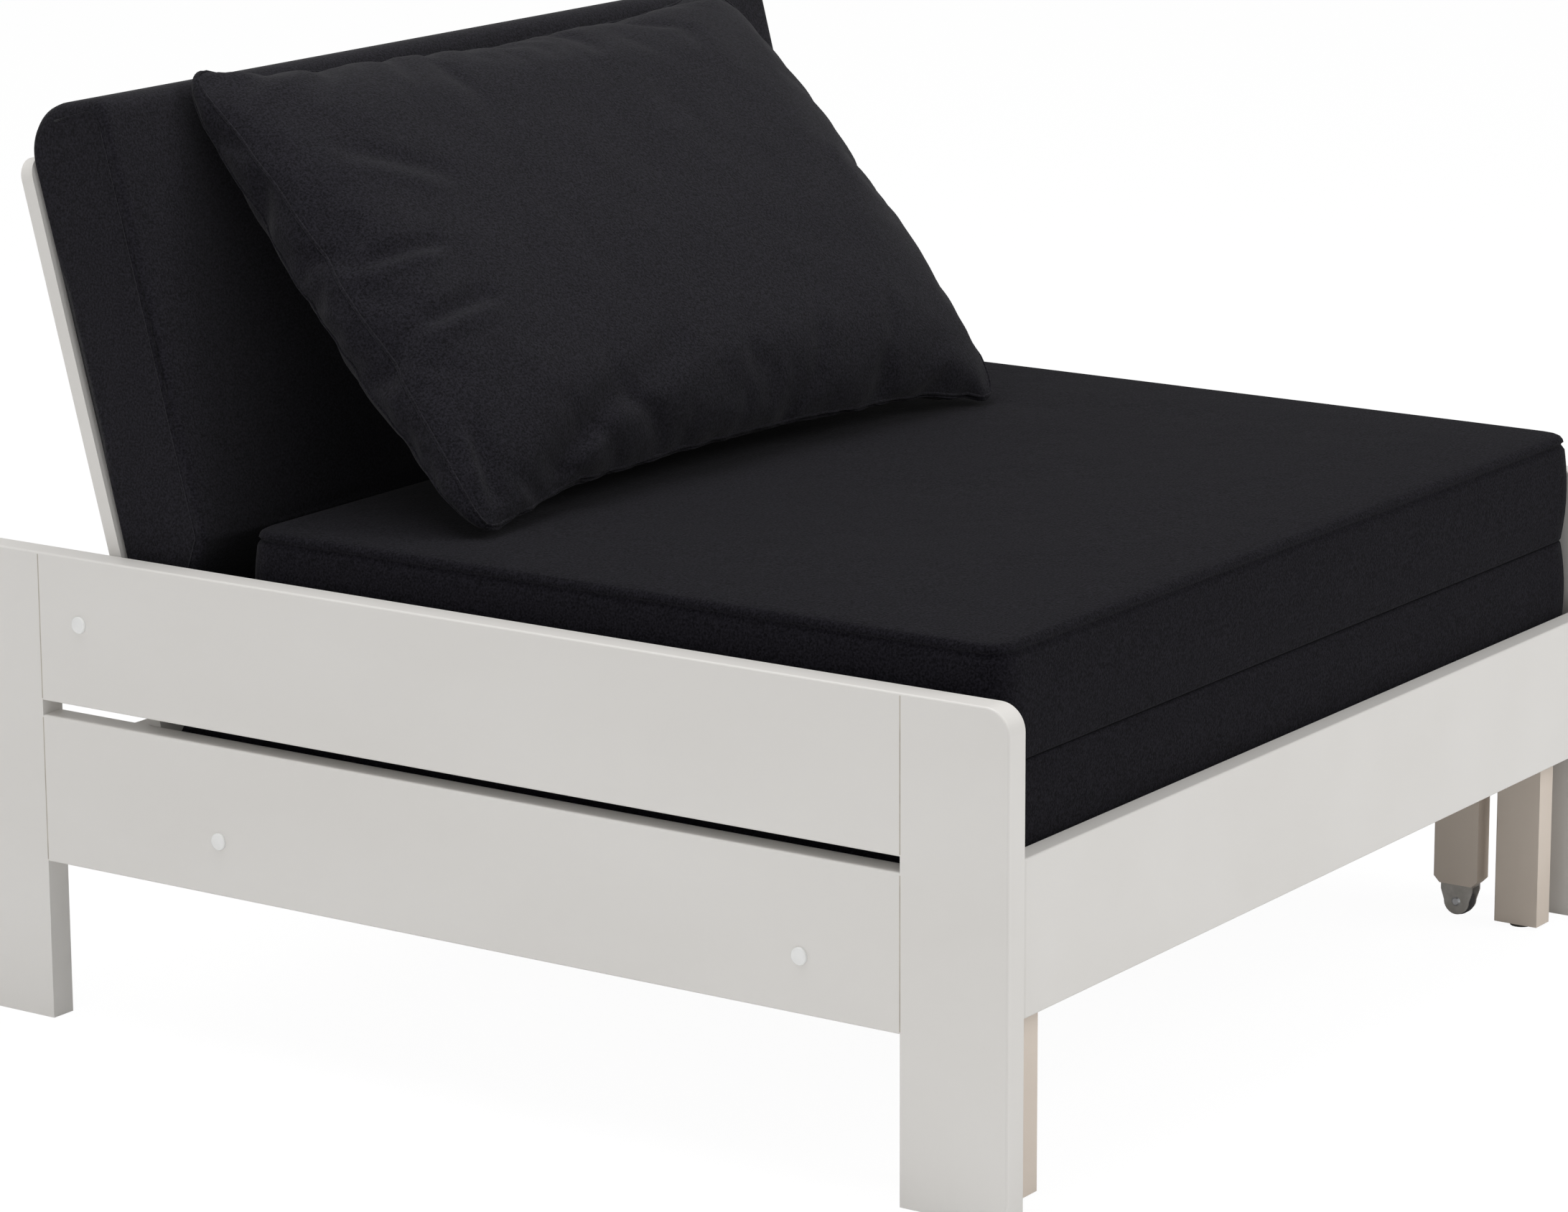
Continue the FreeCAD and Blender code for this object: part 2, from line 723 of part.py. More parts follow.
# Front trestle
rail_half = inner_x - front_rail_side_gap
front_rail = block(
    -rail_half,
    rail_half,
    front_y + front_rail_setback,
    front_rail_back_y,
    front_rail_top_z - front_rail_height,
    front_rail_top_z,
)
front_rail = ease(
    front_rail,
    front_rail_end_radius,
    lambda edge: runs_along(edge, "z") and edge.Vertexes[0].Point.y < front_rail_back_y - 1,
)
nodes["front_rail"] = ease(
    front_rail,
    edge_ease,
    lambda edge: runs_along(edge, "x"),
)
glides = []
for name, side in SIDES.items():
    x0, x1 = side * post_outer_x, side * (post_outer_x - post_thickness)
    post = block(x0, x1, front_rail_back_y, front_rail_back_y + post_depth, glide_height, ledger_top_z)
    post = ease(
        post,
        edge_ease,
        lambda edge: runs_along(edge, "z") and edge.Vertexes[0].Point.y > front_rail_back_y + 1,
    )
    nodes[name + "_front_post"] = post.cut(group(front_screws))
    centre = V((x0 + x1) / 2, front_rail_back_y + post_depth / 2, 0)
    glides.append(rod(glide_diameter, glide_height, centre, V(0, 0, 1)))
nodes["post_glides"] = group(glides)
ledger_half = post_outer_x - post_thickness
ledger = block(
    -ledger_half,
    ledger_half,
    front_rail_back_y,
    front_rail_back_y + ledger_thickness,
    ledger_top_z - ledger_height,
    ledger_top_z,
)
nodes["front_ledger"] = ledger.cut(group(front_screws))

# Castor trestle
leg_y0 = front_y + castor_leg_y
middle_half = castor_outer_x - castor_leg_thickness
for name, side in SIDES.items():
    x0, x1 = side * castor_outer_x, side * (castor_outer_x - castor_leg_thickness)
    castor_leg = block(x0, x1, leg_y0, leg_y0 + castor_leg_depth, castor_height, middle_rail_top_z)
    castor_leg = castor_leg.makeChamfer(castor_leg_chamfer, [
        e for e in castor_leg.Edges if runs_along(e, "x") and e.Vertexes[0].Point.z < castor_height + 1
    ])
    nodes[name + "_castor_leg"] = castor_leg.cut(group(middle_screws))
    x = (x0 + x1) / 2
    nodes[name + "_castor_bracket"] = castor_bracket(x)
    nodes[name + "_castor_axle"] = castor_axle(x)
    nodes[name + "_castor_wheel"] = castor_wheel(x)
    nodes[name + "_castor_tyre"] = castor_tyre(x)
middle_rail = block(
    -middle_half,
    middle_half,
    leg_y0,
    leg_y0 + middle_rail_thickness,
    middle_rail_top_z - middle_rail_height,
    middle_rail_top_z,
)
nodes["middle_rail"] = middle_rail.cut(group(middle_screws))

# Mattress layers, sewn together along the front, and the back cushion
lower_layer = mattress_layer(
    lower_layer_length, lower_layer_crown, layer_fold_corner, layer_foot_corner, layer_foot_corner
)
lower_layer.translate(V(0, mattress_front, mattress_bottom_z))
nodes["seat_lower_cushion"] = lower_layer
upper_layer = mattress_layer(
    upper_layer_length, upper_layer_crown, layer_top_corner, layer_fold_corner, layer_top_corner
)
upper_layer.translate(V(0, mattress_front, lower_layer_top_z + fold_gap))
nodes["seat_upper_cushion"] = upper_layer
nodes["back_cushion"] = back_cushion_shape()

# Pillow, lowered onto the seat and pushed back to the back cushion in turns
seat_top_z = upper_layer.BoundBox.ZMax
resting_pillow = pillow()
start_y = nodes["back_cushion"].BoundBox.YMin - resting_pillow.BoundBox.YMax
resting_pillow.translate(V(0, start_y, seat_top_z + soft_gap - resting_pillow.BoundBox.ZMin))
nodes["pillow"] = bring_near(resting_pillow, nodes["back_cushion"], V(0, 1, 0))

for name, shape in nodes.items():
    shape.exportStep("parts/" + name + ".step")
    box = shape.BoundBox
    print(name, len(shape.Solids), shape.isValid(), round(shape.Volume), [
        round(value, 1) for value in (box.XMin, box.XMax, box.YMin, box.YMax, box.ZMin, box.ZMax)
    ])
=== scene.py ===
import json
import math
import bpy
from mathutils import Matrix, Vector, noise


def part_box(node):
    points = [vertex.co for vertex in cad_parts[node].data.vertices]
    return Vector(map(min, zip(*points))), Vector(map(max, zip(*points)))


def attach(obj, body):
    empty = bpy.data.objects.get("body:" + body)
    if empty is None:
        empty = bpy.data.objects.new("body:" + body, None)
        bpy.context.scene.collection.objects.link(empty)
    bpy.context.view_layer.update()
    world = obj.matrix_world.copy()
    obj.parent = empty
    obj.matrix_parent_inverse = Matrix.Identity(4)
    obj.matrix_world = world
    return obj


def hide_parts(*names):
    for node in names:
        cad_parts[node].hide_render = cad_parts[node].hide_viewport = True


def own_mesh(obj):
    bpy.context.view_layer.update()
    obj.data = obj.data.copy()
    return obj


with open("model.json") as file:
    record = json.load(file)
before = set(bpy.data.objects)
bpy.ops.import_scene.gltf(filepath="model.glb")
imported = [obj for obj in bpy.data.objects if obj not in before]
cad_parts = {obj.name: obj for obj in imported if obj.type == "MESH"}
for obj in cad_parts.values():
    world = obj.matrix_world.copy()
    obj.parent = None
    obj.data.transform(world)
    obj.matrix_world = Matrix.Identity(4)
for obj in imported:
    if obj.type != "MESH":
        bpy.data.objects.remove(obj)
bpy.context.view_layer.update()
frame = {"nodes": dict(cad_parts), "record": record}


# Materials

# The fabric's two tones, and its gloss and sheen at full shade
FLECK_DARK, FLECK_LIGHT = (0.0024, 0.0022, 0.0036), (0.0140, 0.0130, 0.0178)
FABRIC_GLOSS, FABRIC_SHEEN = 0.12, 0.05


def shader_of(mat):
    return mat.node_tree.nodes["Principled BSDF"]


def material(name, color, roughness, **sockets):
    """A plain shader. Its further sockets are set by their names."""
    mat = bpy.data.materials.new(name)
    mat.use_nodes = True
    shader = shader_of(mat)
    shader.inputs["Base Color"].default_value = (*color, 1)
    shader.inputs["Roughness"].default_value = roughness
    for socket, value in sockets.items():
        shader.inputs[socket].default_value = value
    return mat


def noise_node(mat, scale, detail, roughness=0.5, stretch=(1, 1, 1)):
    """Noise over the object's own coordinates, stretched along its axes."""
    nodes, links = mat.node_tree.nodes, mat.node_tree.links
    coord = nodes.new("ShaderNodeTexCoord")
    mapping = nodes.new("ShaderNodeMapping")
    mapping.inputs["Scale"].default_value = stretch
    tex = nodes.new("ShaderNodeTexNoise")
    tex.inputs["Scale"].default_value = scale
    tex.inputs["Detail"].default_value = detail
    tex.inputs["Roughness"].default_value = roughness
    links.new(coord.outputs["Object"], mapping.inputs["Vector"])
    links.new(mapping.outputs["Vector"], tex.inputs["Vector"])
    return tex


def color_between(mat, source, low, high, low_at=0.35, high_at=0.65):
    """Paints the base colour between two colours as the source runs from low_at to high_at."""
    nodes, links = mat.node_tree.nodes, mat.node_tree.links
    ramp = nodes.new("ShaderNodeValToRGB")
    for stop, position, color in zip(ramp.color_ramp.elements, (low_at, high_at), (low, high)):
        stop.position = position
        stop.color = (*color, 1)
    links.new(source.outputs["Fac"], ramp.inputs["Fac"])
    links.new(ramp.outputs["Color"], shader_of(mat).inputs["Base Color"])


def bump(mat, source, strength, distance):
    """Adds a bump from the source, on top of the bump that is there already."""
    nodes, links = mat.node_tree.nodes, mat.node_tree.links
    normal = shader_of(mat).inputs["Normal"]
    node = nodes.new("ShaderNodeBump")
    node.inputs["Strength"].default_value = strength
    node.inputs["Distance"].default_value = distance
    links.new(source.outputs["Fac"], node.inputs["Height"])
    if normal.is_linked:
        links.new(normal.links[0].from_socket, node.inputs["Normal"])
    links.new(node.outputs["Normal"], normal)


def fabric_material(name, shade):
    """A dark, matt weave. shade scales how light it is; below 1 it gives a copy of the same cloth with painted
    shade.
    """
    low = tuple(shade * part for part in FLECK_DARK)
    high = tuple(shade * part for part in FLECK_LIGHT)
    mat = material(name, high, 0.95, **{
        "Specular IOR Level": FABRIC_GLOSS * shade ** 3,
        "Sheen Weight": FABRIC_SHEEN * shade ** 3,
        "Sheen Roughness": 0.55,
    })
    fleck = noise_node(mat, scale=500.0, detail=1.0, roughness=0.7)
    color_between(mat, fleck, low, high, low_at=0.32, high_at=0.68)
    bump(mat, fleck, strength=0.6, distance=0.0008)
    rumple = noise_node(mat, scale=26.0, detail=3.0, roughness=0.55)
    bump(mat, rumple, strength=0.25, distance=0.004)
    return mat


def paint_material():
    """White paint over wood, faintly clouded, with fine brushing along Y."""
    mat = material("white_paint", (0.74, 0.725, 0.70), 0.42)
    cloud = noise_node(mat, scale=3.5, detail=3.0, roughness=0.6, stretch=(1, 0.4, 1))
    color_between(mat, cloud, (0.685, 0.665, 0.635), (0.725, 0.708, 0.682), low_at=0.3, high_at=0.7)
    brushing = noise_node(mat, scale=60.0, detail=2.0, roughness=0.5, stretch=(1, 0.06, 1))
    bump(mat, brushing, strength=0.08, distance=0.0008)
    return mat


def speckled(name, low, high, roughness, scale, **sockets):
    """A surface that varies a little between two tones. A larger scale makes finer speckles."""
    mat = material(name, high, roughness, **sockets)
    color_between(mat, noise_node(mat, scale, detail=3.0), low, high)
    return mat


FABRIC = fabric_material("charcoal_weave", 1.0)
# The mattress layers take a darker copy of the same cloth, with duller gloss and sheen: painted shade.
SHADED_SEAT_FABRIC = fabric_material("charcoal_weave_seat_painted_shade", 0.79)
PAINT = paint_material()
# The white paint made darker and warmer: painted shade with warm bounce light, for the posts and castor legs.
BOUNCE_SHADED_PAINT = speckled("paint_with_painted_bounce_shade", (0.64, 0.555, 0.475), (0.70, 0.615, 0.535), 0.5, 6.0)
# Painted shadow for the fine grooves where the side boards meet the legs.
JOINT_SHADOW = speckled("painted_joint_shadow", (0.40, 0.36, 0.31), (0.50, 0.46, 0.40), 0.7, 60.0)
BARE = speckled("bare_wood", (0.52, 0.36, 0.20), (0.66, 0.48, 0.28), 0.6, 30.0)
ZINC = speckled("zinc", (0.55, 0.56, 0.58), (0.72, 0.73, 0.75), 0.35, 200.0, Metallic=1.0)
BRACKET = speckled("grey_bracket", (0.42, 0.40, 0.37), (0.52, 0.50, 0.47), 0.45, 120.0)
WHEEL = speckled("grey_wheel", (0.15, 0.15, 0.155), (0.19, 0.19, 0.20), 0.5, 150.0)
TREAD = speckled("grey_tread", (0.09, 0.09, 0.095), (0.12, 0.12, 0.125), 0.7, 150.0)
CAP = speckled("white_cap", (0.78, 0.78, 0.77), (0.82, 0.82, 0.81), 0.25, 80.0)
FELT = speckled("felt", (0.10, 0.09, 0.08), (0.16, 0.15, 0.14), 0.95, 400.0)
TAPE = speckled("grip_tape", (0.012, 0.012, 0.013), (0.03, 0.03, 0.032), 0.9, 800.0)

SLOTS = {
    "white_painted_wood": PAINT, "bare_wood": BARE, "dark_fabric": FABRIC, "zinc_steel": ZINC,
    "grey_steel": BRACKET, "grey_plastic": WHEEL, "grey_tread": TREAD, "white_plastic": CAP, "felt": FELT,
    "grip_tape": TAPE,
}
for entry in frame["record"]["subparts"]:
    cad = frame["nodes"][entry["node"]]
    cad.data.materials.clear()
    cad.data.materials.append(SLOTS[entry["material_slot"]])
# The posts and castor legs take the darker, warmer paint: painted shade with warm bounce light on their shaded
# sides.
for name in ("left_front_post", "right_front_post", "left_castor_leg", "right_castor_leg"):
    frame["nodes"][name].data.materials[0] = BOUNCE_SHADED_PAINT


# Shapes that the soft pieces share

FEWEST_CELLS = 8        # along either side of a panel's grid
ROUND_STEPS = 4         # over each rounded edge of a layer
SIDE_STEPS = 8          # down the side between those edges
GROOVE_DEPTH, GROOVE_HALF = 0.0022, 0.0045
GROOVE_CLEARANCE = 0.007
OUTLINE_STEP, ARC_STEP = 0.012, 0.005
CORD_SIDES = 6
TINY = 1e-9


def set_smooth(mesh, smooth):
    for polygon in mesh.polygons:
        polygon.use_smooth = smooth


def mesh_object(name, points, faces, mat):
    """A smooth-shaded object in the scene."""
    mesh = bpy.data.meshes.new(name)
    mesh.from_pydata([tuple(p) for p in points], [], faces)
    mesh.validate()
    set_smooth(mesh, True)
    mesh.materials.append(mat)
    obj = bpy.data.objects.new(name, mesh)
    bpy.context.scene.collection.objects.link(obj)
    return obj


def closed_pairs(count):
    """Each number of a closed ring, with the number that follows it."""
    return [(k, (k + 1) % count) for k in range(count)]


def plan_point(u, v, half_x, half_y, radius):
    """A square's point at u, v moved onto a rectangle with rounded upright corners."""
    x, y = u * half_x, v * half_y
    core_x = max(-(half_x - radius), min(half_x - radius, x))
    core_y = max(-(half_y - radius), min(half_y - radius, y))
    dx, dy = x - core_x, y - core_y
    length = math.hypot(dx, dy)
    if length > TINY:
        reach = max(abs(dx), abs(dy)) / length
        x, y = core_x + dx * reach, core_y + dy * reach
    return x, y


def grid_counts(size, step):
    """How many cells a panel has along its width and its length."""
    return [max(FEWEST_CELLS, round(length / step)) for length in size]


def border(nx, ny):
    """The grid places round a panel's edge, once each."""
    ring = [(i, 0) for i in range(nx)] + [(nx, j) for j in range(ny)]
    ring += [(i, ny) for i in range(nx, 0, -1)] + [(0, j) for j in range(ny, 0, -1)]
    return ring


def boxed_points(size, step, radius, profile):
    """The points and faces of a boxed cushion: two gridded panels, and rows of points between their edges.
    profile runs from the top edge to the bottom edge as (outward offset, height) pairs."""
    nx, ny = grid_counts(size, step)
    whole = [(i, j) for j in range(ny + 1) for i in range(nx + 1)]
    ring = border(nx, ny)
    points, faces = [], []

    def added(places, offset, height):
        """Adds a point at each grid place, and returns the numbers of these points."""
        first = len(points)
        for i, j in places:
            u, v = 2 * i / nx - 1, 2 * j / ny - 1
            x, y = plan_point(u, v, size[0] / 2 + offset, size[1] / 2 + offset, radius)
            points.append((x, y, height))
        return range(first, len(points))

    def panel(offset, height, facing_down):
        """Adds a panel with its faces, and returns the numbers of the points round its edge."""
        at = dict(zip(whole, added(whole, offset, height)))
        for j in range(ny):
            for i in range(nx):
                a, b, c, d = at[i, j], at[i + 1, j], at[i + 1, j + 1], at[i, j + 1]
                faces.append((a, d, c, b) if facing_down else (a, b, c, d))
        return [at[place] for place in ring]

    top = panel(*profile[0], False)
    bottom = panel(*profile[-1], True)
    rows = [top] + [added(ring, offset, height) for offset, height in profile[1:-1]] + [bottom]
    for above, below in zip(rows, rows[1:]):
        for k, following in closed_pairs(len(ring)):
            faces.append((above[k], below[k], below[following], above[following]))
    return points, faces


def edge_profile(thickness, top_radius, foot_radius, bow, seam):
    """From the top edge over its round, down the bowed side with a groove at the seam, to the bottom edge."""
    rows = []
    for step in range(ROUND_STEPS + 1):
        turn = math.pi / 2 * step / ROUND_STEPS
        rows.append((-top_radius * (1 - math.sin(turn)), thickness - top_radius * (1 - math.cos(turn))))
    low, high = foot_radius, thickness - top_radius
    heights = {round(low + (high - low) * k / SIDE_STEPS, 5) for k in range(1, SIDE_STEPS)}
    heights = {height for height in heights if abs(height - seam) > GROOVE_CLEARANCE}
    heights |= {seam + d for d in (-GROOVE_HALF, -0.002, 0.0, 0.002, GROOVE_HALF)}
    for height in sorted((h for h in heights if low < h < high), reverse=True):
        share = 1 - (2 * (height - low) / (high - low) - 1) ** 2
        dent = GROOVE_DEPTH * max(0.0, 1 - abs(height - seam) / GROOVE_HALF) ** 1.2
        rows.append((bow * share - dent, height))
    for step in range(ROUND_STEPS + 1):
        turn = math.pi / 2 * (ROUND_STEPS - step) / ROUND_STEPS
        rows.append((-foot_radius * (1 - math.sin(turn)), foot_radius * (1 - math.cos(turn))))
    return rows


def ripple(x, y, z, scale, seed):
    """Smooth noise at a place. A larger scale makes shorter waves."""
    return noise.noise(Vector((x * scale + seed, y * scale - seed, z * scale + 2 * seed)))


def rounded_outline(corners, radii):
    """Points along a closed outline: each corner's arc, then the straight side that leads to the next."""
    arcs = []
    for k, radius in enumerate(radii):
        here = Vector(corners[k])
        back = (Vector(corners[k - 1]) - here).normalized()
        ahead = (Vector(corners[(k + 1) % len(corners)]) - here).normalized()
        half = back.angle(ahead) / 2
        cut = radius / math.tan(half)
        bisector = (back + ahead).normalized()
        centre = here + bisector * (radius / math.sin(half))
        start, end = here + back * cut, here + ahead * cut
        a, b = start - centre, end - centre
        turn = a.angle(b)
        pieces = max(3, round(radius * turn / ARC_STEP))
        arc = []
        for i in range(pieces + 1):
            t = i / pieces
            arc.append(centre + (a * math.sin((1 - t) * turn) + b * math.sin(t * turn)) / math.sin(turn))
        arcs.append(arc)
    points = []
    for k, following in closed_pairs(len(arcs)):
        points += arcs[k]
        start, end = arcs[k][-1], arcs[following][0]
        pieces = max(1, round((end - start).length / OUTLINE_STEP))
        points += [start.lerp(end, i / pieces) for i in range(1, pieces)]
    return points


def cord(points, faces, path, radius):
    """Adds a thin round cord along a path to the lists of a mesh."""
    base = len(points)
    last = len(path) - 1
    for i, spot in enumerate(path):
        ahead = (path[min(i + 1, last)] - path[max(i - 1, 0)]).normalized()
        steep = abs(ahead.z) >= 0.8
        across = ahead.cross(Vector((0, 1, 0)) if steep else Vector((0, 0, 1))).normalized()
        other = ahead.cross(across)
        for k in range(CORD_SIDES):
            turn = 2 * math.pi * k / CORD_SIDES
            points.append(tuple(spot + (across * math.cos(turn) + other * math.sin(turn)) * radius))
    for i in range(last):
        row = base + i * CORD_SIDES
        for k, following in closed_pairs(CORD_SIDES):
            a, b = row + k, row + following
            faces.append((a, b, b + CORD_SIDES, a + CORD_SIDES))
    faces.append(tuple(base + k for k in range(CORD_SIDES))[::-1])
    faces.append(tuple(base + last * CORD_SIDES + k for k in range(CORD_SIDES)))


def place(obj, matrix, body, fill):
    """Moves the points to their place, and lets the piece ride with its body."""
    obj.data.transform(matrix)
    obj.data.update()
    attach(obj, body)
    return obj


# Mattress layers

LAYER_STEP, LAYER_CORNER = 0.012, 0.022
LAYER_FILL = 0.9
LAYER_LIFT = 0.0001                             # keeps a layer's underside off what it lies on
CROWN_POWER = 7                                 # how flat the crown is in its middle
CROWN_FROM, CROWN_OVER = 0.7, 0.3               # shares of the thickness over which it sets in
LONG_WAVES, SHORT_WAVES, SHORT_SHARE = 9.0, 31.0, 0.4
LOWER_THICKNESS, UPPER_THICKNESS = 0.1010, 0.0975


def crowned(points, size, thickness, crown, wave, seed):
    """Lifts the top panel into a flat crown that wanders a little and never rises above its full height."""
    half_x, half_y = size[0] / 2, size[1] / 2
    shaped = []
    for x, y, z in points:
        u, v = min(1.0, abs(x) / half_x), min(1.0, abs(y) / half_y)
        lift = (1 - u ** CROWN_POWER) * (1 - v ** CROWN_POWER)
        lift *= max(0.0, (z - thickness * CROWN_FROM) / (thickness * CROWN_OVER))
        drift = wave * ripple(x, y, z, LONG_WAVES, seed)
        drift += wave * SHORT_SHARE * ripple(x, y, z, SHORT_WAVES, seed)
        shaped.append((x, y, min(z + crown * lift + drift * lift, thickness + crown)))
    return shaped


def layer(name, node, body, thickness, profile, crown, wave, seed):
    """One mattress layer, as long and wide as the solid that it replaces."""
    low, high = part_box(node)
    side = max(offset for offset, height in profile)
    size = (high.x - low.x - 2 * side, high.y - low.y - 2 * side)
    points, faces = boxed_points(size, LAYER_STEP, LAYER_CORNER, profile)
    points = crowned(points, size, thickness, crown, wave, seed)
    obj = mesh_object(name, points, faces, SHADED_SEAT_FABRIC)
    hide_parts(node)
    middle = Matrix.Translation(((low.x + high.x) / 2, (low.y + high.y) / 2, low.z + LAYER_LIFT))
    return place(obj, middle, body, LAYER_FILL)


layer(
    "mattress_lower", "seat_lower_cushion", "frame", LOWER_THICKNESS,
    edge_profile(LOWER_THICKNESS, top_radius=0.0025, foot_radius=0.010, bow=0.003, seam=0.014),
    crown=0.0, wave=0.0, seed=3.0,
)
upper = layer(
    "mattress_upper", "seat_upper_cushion", "folding_layer", UPPER_THICKNESS,
    edge_profile(UPPER_THICKNESS, top_radius=0.006, foot_radius=0.0025, bow=0.003, seam=0.0890),
    crown=0.0055, wave=0.0012, seed=5.0,
)
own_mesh(upper)


# Back cushion. Its outline is given as distances off the panel and up along it.

TILT = math.radians(15)
SLAT_TOP = 0.258
PANEL_FOOT = Vector((0, 0.332, SLAT_TOP))
NEAR, TOE, FRONT = 0.0020, 0.0435, 0.0945       # rear face, start of the slanted lower front, front face
WAIST, CREST, REAR_TOP = 0.166, 0.5505, 0.5575  # lower and upper end of the front face, rear end of the top
BACK_RADII = [0.006, 0.012, 0.012, 0.014, 0.042]
BACK_CENTRE = Vector((0.050, 0.335))
FRONT_HALF = 0.05                               # points further off the panel than this swell
FRONT_SWELL, FRONT_WANDER, LOWER_SWELL = 0.0068, 0.0012, 0.002
SIDE_ROOM = 0.002                               # left at each side for the end's own swell
FOOT_LIFT = 0.0003
END_EASE = [(0.0, 0.0075), (0.0012, 0.0038), (0.0045, 0.0010), (0.010, 0.0)]    # inward from the end, inset
END_RINGS, END_SWELL = (0.93, 0.80, 0.55, 0.25), 0.0015
COLUMNS = 78
SEAM_INSET, SEAM_SINK, SEAM_RADIUS = 0.0085, 0.0002, 0.0011
SEAM_RADII = [0.012, 0.012, 0.012, 0.004]
SEAM_REAR, SEAM_FOOT, SEAM_FOOT_FRONT = 0.035, 0.16, 0.045
BACK_FILL = 0.85


def on_panel(out, along):
    """The y and z of a point that lies this far off the panel and this far up along it."""
    y = PANEL_FOOT.y + along * math.sin(TILT) - out * math.cos(TILT)
    z = PANEL_FOOT.z + along * math.cos(TILT) + out * math.sin(TILT)
    return y, z


def front_crown(x, out, along, half):
    """How far the front swells at a point. The rear face and the top's rear stay flat."""
    swell = max(0.0, 1 - (abs(x) / half) ** 5)
    if out <= FRONT_HALF:
        return 0.0
    if along <= WAIST:
        return LOWER_SWELL * swell
    height = (along - WAIST) / (CREST - WAIST)
    crown = FRONT_SWELL * swell * max(0.0, 1 - abs(2 * height - 1) ** 4)
    return crown + FRONT_WANDER * swell * ripple(x, along, 0, 8.0, 8.0)


def close_end(points, faces, loop, row, x, right_end):
    """Closes one end of the back cushion with shrinking rings and a middle point, swelling outwards."""
    count = len(loop)
    ring = [row * count + k for k in range(count)]
    for shrink in END_RINGS:
        new = []
        for spot in loop:
            y, z = on_panel(*(BACK_CENTRE + (spot - BACK_CENTRE) * shrink))
            new.append(len(points))
            points.append((x + math.copysign(END_SWELL * (1 - shrink), x), y, z))
        for k, following in closed_pairs(count):
            quad = (ring[k], new[k], new[following], ring[following])
            faces.append(quad[::-1] if right_end else quad)
        ring = new
    points.append((x + math.copysign(END_SWELL, x), *on_panel(*BACK_CENTRE)))
    for k, following in closed_pairs(count):
        tri = (ring[k], len(points) - 1, ring[following])
        faces.append(tri[::-1] if right_end else tri)


def back_cushion():
    """The cushion on the panel: upright sides, a slanted lower front and a soft round over the top's rear."""
    low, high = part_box("back_cushion")
    half = (high.x - low.x) / 2 - SIDE_ROOM
    rise = low.z + FOOT_LIFT - SLAT_TOP

    def foot(out):
        return (rise - out * math.sin(TILT)) / math.cos(TILT)

    corners = [(NEAR, foot(NEAR)), (TOE, foot(TOE)), (FRONT, WAIST), (FRONT, CREST), (NEAR, REAR_TOP)]
    loop = rounded_outline(corners, BACK_RADII)
    flat = END_EASE[-1][0]
    stations = [(-half + inward, inset) for inward, inset in END_EASE]
    inner = [-half + flat + (2 * half - 2 * flat) * i / COLUMNS for i in range(1, COLUMNS)]
    stations += [(x, 0.0) for x in inner] + [(-x, inset) for x, inset in reversed(stations)]
    points, faces = [], []
    for x, inset in stations:
        for spot in loop:
            out, along = spot
            toward = (BACK_CENTRE - spot).normalized()
            out, along = out + toward.x * inset, along + toward.y * inset
            points.append((x, *on_panel(out + front_crown(x, out, along, half), along)))
    count, last = len(loop), len(stations) - 1
    for i in range(last):
        for k, following in closed_pairs(count):
            a, b = i * count + k, i * count + following
            faces.append((a, b, b + count, a + count))
    close_end(points, faces, loop, 0, stations[0][0], False)
    close_end(points, faces, loop, last, stations[last][0], True)

    seam = rounded_outline([
        (NEAR + 0.01, 0.54), (FRONT - SEAM_INSET, 0.542),
        (FRONT - SEAM_INSET, 0.170), (0.0440, foot(TOE) + 0.012),
    ], SEAM_RADII)
    # Leaves out what lies near the panel and round the foot. A short piece of the last side also stays, and the
    # cord reaches it in one long step.
    seam = [spot for spot in seam if spot.x > SEAM_REAR and (spot.y > SEAM_FOOT or spot.x > SEAM_FOOT_FRONT)]
    for side in (-1, 1):
        path = [Vector((side * (half - SEAM_SINK), *on_panel(*spot))) for spot in seam]
        cord(points, faces, path, SEAM_RADIUS)
    obj = mesh_object("back_cushion_soft", points, faces, FABRIC)
    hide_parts("back_cushion")
    place(obj, Matrix.Identity(4), "frame", BACK_FILL)


back_cushion()


# Loose pillow

COVER_SIZE, COVER_STEP, COVER_CORNER = (0.748, 0.508), 0.0105, 0.022
COVER_ROWS = [(0.0, 1.0), (0.001, 0.62), (0.0015, 0.2), (0.0015, -0.2), (0.001, -0.62), (0.0, -1.0)]
# Half the cover's height at its long seams and at the middle of its ends, and what its own middle adds
EDGE_HALF, END_HALF, MIDDLE_LIFT = 0.0028, 0.034, 0.020
GATHER_WEIGHTS = (1.0, 0.55, 0.15, 0.0)                     # by how many cells a point is from the seam
PRESSURE, GATHER, SIM_FRAMES, FARTHEST = 3.0, 0.035, 20, 0.050
PILLOW_SIZE = (0.728, 0.494, 0.128)
RIGHT_BULGE, LEFT_BULGE, LONG_EDGE_BULGE = 0.017, 0.011, 0.011
CORNER_IN, CORNER_DOWN = 0.013, 0.006
PILLOW_CORD = 0.0014
PILLOW_TURN, PILLOW_LEAN = -4, 44                           # degrees
PILLOW_SHIFT = Vector((0.010, 0.002, 0.003))
PILLOW_FILL = 0.6

